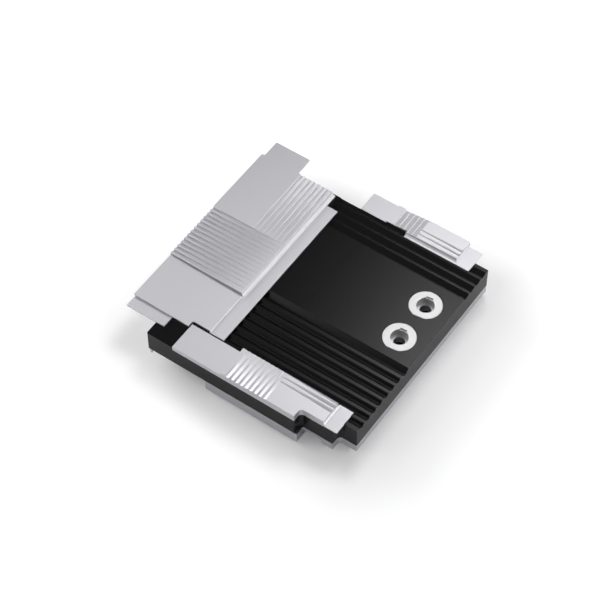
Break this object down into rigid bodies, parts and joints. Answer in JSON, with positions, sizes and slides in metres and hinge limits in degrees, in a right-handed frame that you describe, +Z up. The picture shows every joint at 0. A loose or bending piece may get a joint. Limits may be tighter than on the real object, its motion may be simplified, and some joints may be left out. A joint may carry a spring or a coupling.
{
  "type": "monoblock water block",
  "caption": "Flat liquid-cooling block for a processor and its power stages: black grooved body, nickel cold plate, silver ribbed covers and flush threaded ports.",
  "frame": {"origin": "centre of the processor contact face on the underside of the cold plate", "axes": "+Z up out of the ports, +X towards the port side, +Y towards the far side, across the grooves"},
  "size_m": [0.1825, 0.185, 0.0315],
  "materials": {
    "black_acetal": "satin milled acetal",
    "nickel_copper": "satin nickel plate on copper",
    "satin_aluminium": "fine bead-blasted, clear anodised",
    "nickel_brass": "nickel-plated brass, turned",
    "stainless_sheet": "rolled stainless sheet",
    "insert_acetal": "milled acetal",
    "seal_rubber": "EPDM cord",
    "steel_screws": "zinc-plated steel"
  },
  "bodies": {
    "root": {"cold_plate": "nickel_copper", "top_body": "black_acetal", "jet_plate": "stainless_sheet", "flow_insert": "insert_acetal", "main_seal": "seal_rubber", "port_ring_outlet": "nickel_brass", "port_ring_inlet": "nickel_brass", "port_seal_outlet": "seal_rubber", "port_seal_inlet": "seal_rubber", "io_cover": "satin_aluminium", "vrm_cover": "satin_aluminium", "upper_cover": "satin_aluminium", "plate_screws": "steel_screws", "vrm_screws": "steel_screws", "io_cover_screws": "steel_screws", "vrm_cover_screws": "steel_screws", "upper_cover_screws": "steel_screws", "cpu_standoff_near_left": "nickel_brass", "cpu_standoff_near_right": "nickel_brass", "cpu_standoff_far_left": "nickel_brass", "cpu_standoff_far_right": "nickel_brass", "board_standoff_near_left": "nickel_brass", "board_standoff_near_right": "nickel_brass", "board_standoff_far_left": "nickel_brass", "board_standoff_far_right": "nickel_brass", "locating_pins": "nickel_brass"}
  },
  "joints": []
}
